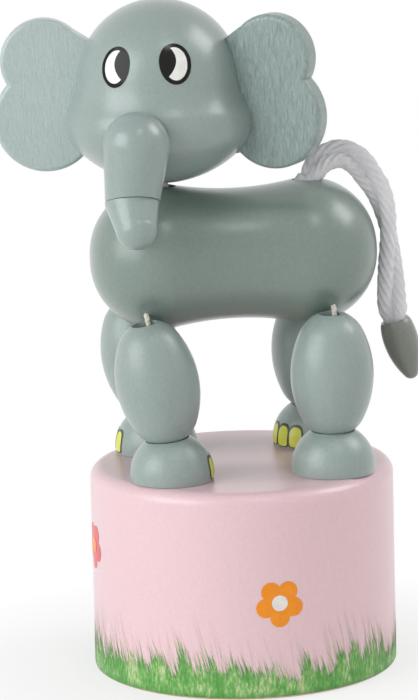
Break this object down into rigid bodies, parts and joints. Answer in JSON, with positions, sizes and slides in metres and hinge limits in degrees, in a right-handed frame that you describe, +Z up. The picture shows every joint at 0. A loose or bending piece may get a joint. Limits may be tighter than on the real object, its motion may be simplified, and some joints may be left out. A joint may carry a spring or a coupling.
{
  "type": "push puppet",
  "caption": "Wooden push puppet: an elephant of strung turned beads on a hollow drum; pressing the sprung disc underneath slackens the strings and the elephant leans.",
  "frame": {"origin": "centre of the drum's lower rim, on the surface the toy stands on", "axes": "+Z up the drum's axis; the elephant's body lies along X and faces -X; its left side is -Y"},
  "size_m": [0.0686, 0.05, 0.111],
  "materials": {
    "grey_paint": "satin paint",
    "pink_paint": "satin paint",
    "bare_wood": "sanded",
    "string": "twisted thread",
    "tail_cotton": "soft cotton cord",
    "spring_steel": "drawn wire"
  },
  "bodies": {
    "base": {"base_housing": "pink_paint", "foot_strings": "string", "return_spring": "spring_steel", "plunger_strings": "string"},
    "button": {"push_button": "bare_wood", "string_knots": "string"},
    "foot_front_left": {"foot_front_left": "grey_paint"},
    "foot_front_right": {"foot_front_right": "grey_paint"},
    "foot_rear_left": {"foot_rear_left": "grey_paint"},
    "foot_rear_right": {"foot_rear_right": "grey_paint"},
    "leg_front_left": {"leg_front_left": "grey_paint", "leg_string_front_left": "string"},
    "leg_front_right": {"leg_front_right": "grey_paint", "leg_string_front_right": "string"},
    "leg_rear_left": {"leg_rear_left": "grey_paint", "leg_string_rear_left": "string"},
    "leg_rear_right": {"leg_rear_right": "grey_paint", "leg_string_rear_right": "string"},
    "torso": {"torso": "grey_paint", "torso_front_strings": "string", "torso_rear_strings": "string", "tail_cord": "tail_cotton", "tail_bead": "grey_paint"},
    "neck": {"neck_string": "string"},
    "head": {"head": "grey_paint", "head_peg": "bare_wood", "ear_left": "grey_paint", "ear_right": "grey_paint", "trunk": "grey_paint", "trunk_tip": "grey_paint", "trunk_dowel": "bare_wood"}
  },
  "joints": [
    {"name": "lean_front_left", "type": "hinge", "parent": "base", "child": "leg_front_left", "pos_m": [-0.0139, -0.011, 0.0453], "axis": [0, -1, 0], "range_deg": [0, 26], "stiffness_Nm_per_rad": 0.0524, "springref_deg": -43.34},
    {"name": "lean_front_right", "type": "hinge", "parent": "base", "child": "leg_front_right", "pos_m": [-0.0139, 0.011, 0.0453], "axis": [0, -1, 0], "range_deg": [0, 26]},
    {"name": "lean_rear_left", "type": "hinge", "parent": "base", "child": "leg_rear_left", "pos_m": [0.0137, -0.011, 0.0453], "axis": [0, -1, 0], "range_deg": [0, 26]},
    {"name": "lean_rear_right", "type": "hinge", "parent": "base", "child": "leg_rear_right", "pos_m": [0.0137, 0.011, 0.0453], "axis": [0, -1, 0], "range_deg": [0, 26]},
    {"name": "torso_level", "type": "hinge", "parent": "leg_front_left", "child": "torso", "pos_m": [-0.01566, -0.011, 0.05478], "axis": [0, -1, 0], "range_deg": [-24.35, 0]},
    {"name": "button_press", "type": "slide", "parent": "base", "child": "button", "axis": [0, 0, 1], "range_m": [0, 0.006], "deforming": ["return_spring", "plunger_strings"]},
    {"name": "head_turn", "type": "hinge", "parent": "torso", "child": "neck", "pos_m": [-0.0115, 0, 0.081], "axis": [0, 0, 1], "range_deg": [-140, 8]},
    {"name": "head_tip", "type": "hinge", "parent": "neck", "child": "head", "pos_m": [-0.0115, 0, 0.08406], "axis": [-0.9336, 0.3584, 0], "range_deg": [0, 10.4]},
    {"name": "swivel_front_left", "type": "hinge", "parent": "base", "child": "foot_front_left", "pos_m": [-0.0139, -0.011, 0.037], "axis": [0, 0, 1], "continuous": true},
    {"name": "swivel_front_right", "type": "hinge", "parent": "base", "child": "foot_front_right", "pos_m": [-0.0139, 0.011, 0.037], "axis": [0, 0, 1], "continuous": true},
    {"name": "swivel_rear_left", "type": "hinge", "parent": "base", "child": "foot_rear_left", "pos_m": [0.0137, -0.011, 0.037], "axis": [0, 0, 1], "continuous": true},
    {"name": "swivel_rear_right", "type": "hinge", "parent": "base", "child": "foot_rear_right", "pos_m": [0.0137, 0.011, 0.037], "axis": [0, 0, 1], "continuous": true}
  ],
  "couplings": [
    {"joint": "lean_front_right", "follows": "lean_front_left", "ratio": 1},
    {"joint": "lean_rear_left", "follows": "lean_front_left", "ratio": 1},
    {"joint": "lean_rear_right", "follows": "lean_front_left", "ratio": 1},
    {"joint": "torso_level", "follows": "lean_front_left", "ratio": -0.9365},
    {"joint": "button_press", "follows": "lean_front_left", "m_per_rad": 0.01322},
    {"joint": "head_tip", "follows": "lean_front_left", "ratio": 0.3999}
  ]
}
